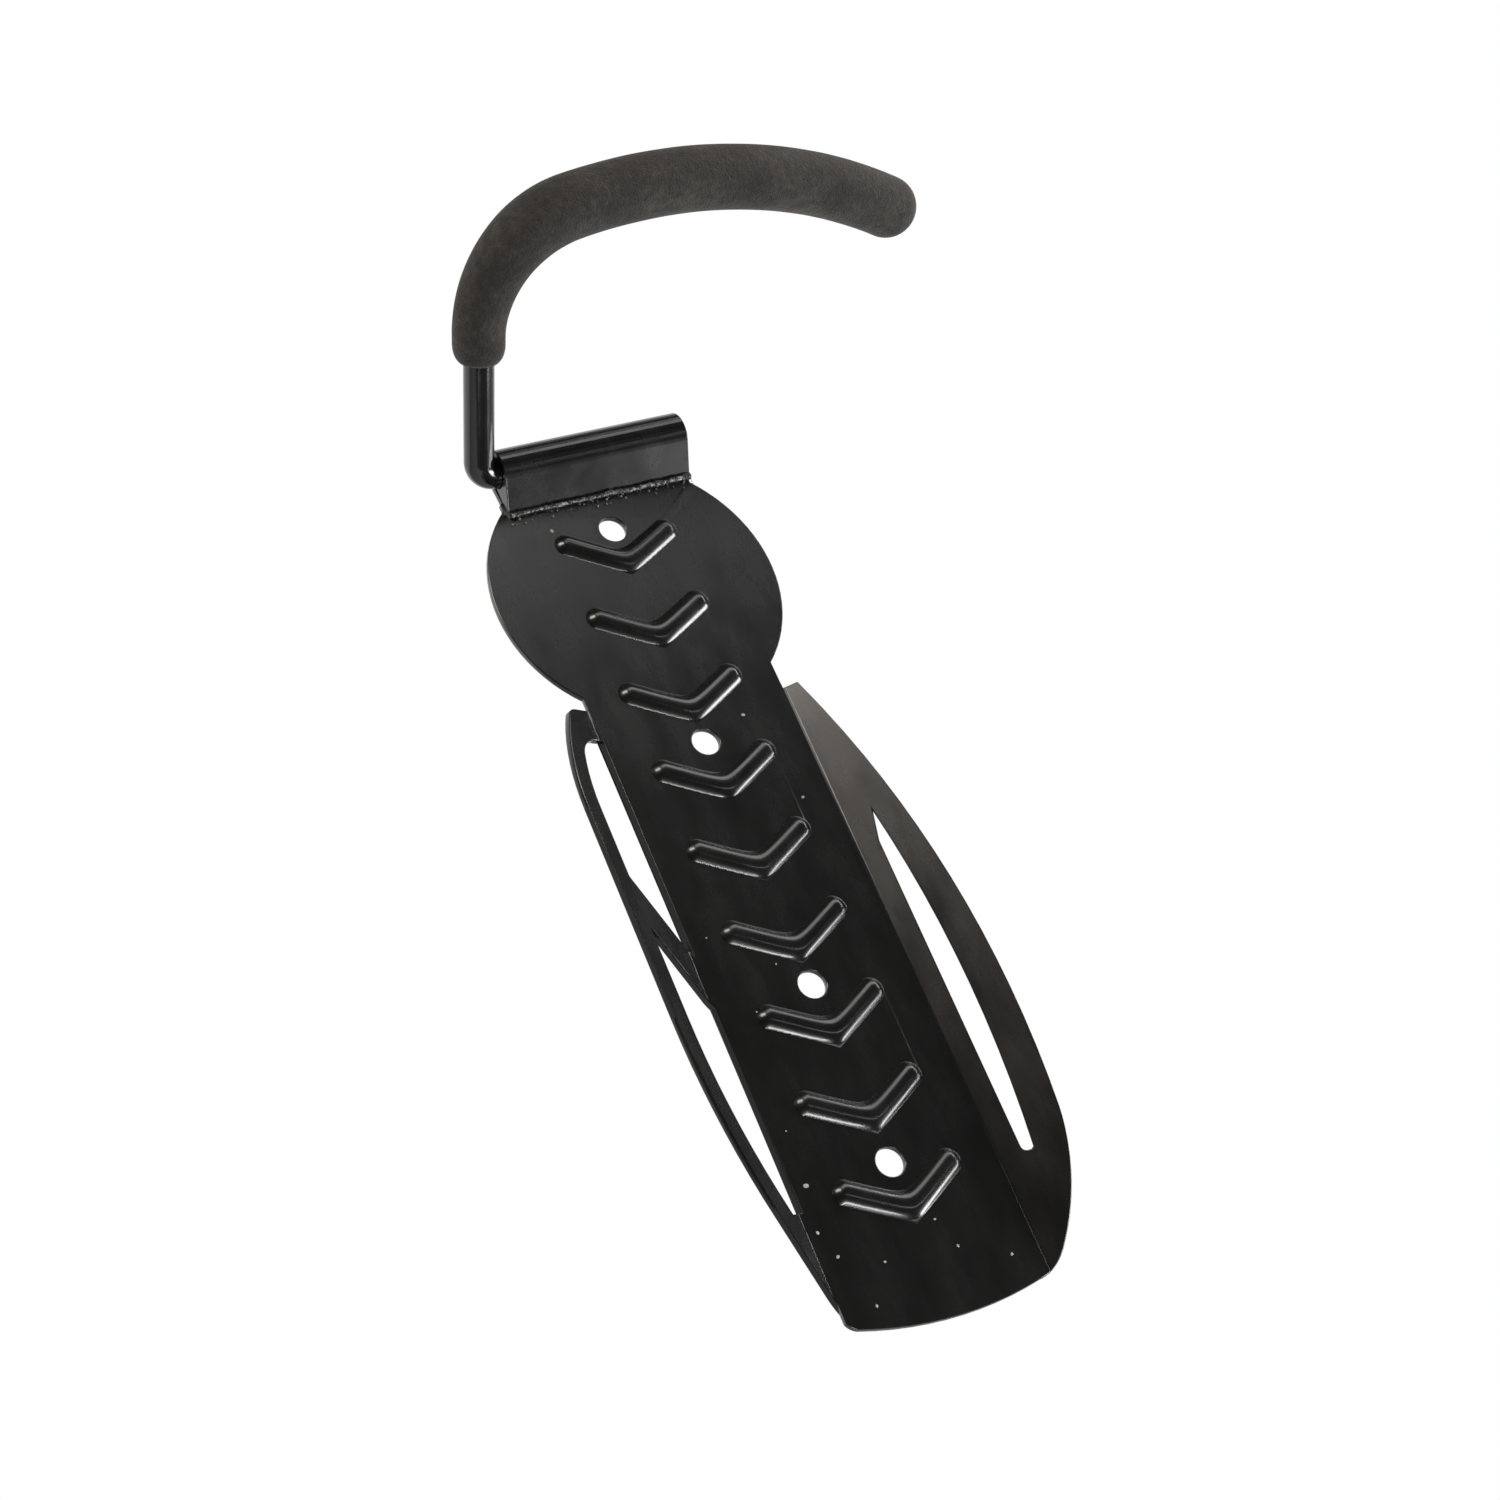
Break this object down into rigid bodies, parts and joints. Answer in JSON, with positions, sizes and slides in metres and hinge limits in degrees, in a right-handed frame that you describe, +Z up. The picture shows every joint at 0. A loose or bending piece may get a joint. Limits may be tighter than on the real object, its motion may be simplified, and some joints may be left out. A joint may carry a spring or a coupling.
{
  "type": "bicycle storage hook",
  "caption": "Wall hook that holds a bicycle by its wheel: a folded steel tray for the tyre and a foam-covered steel rod for the rim.",
  "frame": {"origin": "on the back of the sheet, where it lies on the wall, at the centre of the round head", "axes": "+Y points into the wall and -Y out to the bicycle, +Z runs up the tray, +X to the right seen from the front"},
  "size_m": [0.1568, 0.0857, 0.3271],
  "materials": {
    "tray_paint": "gloss black paint",
    "rod_paint": "gloss black paint",
    "foam": "matte black foam with fine pores"
  },
  "bodies": {
    "root": {"tyre_tray": "tray_paint", "hook_rod": "rod_paint", "foam_sleeve": "foam"}
  },
  "joints": []
}
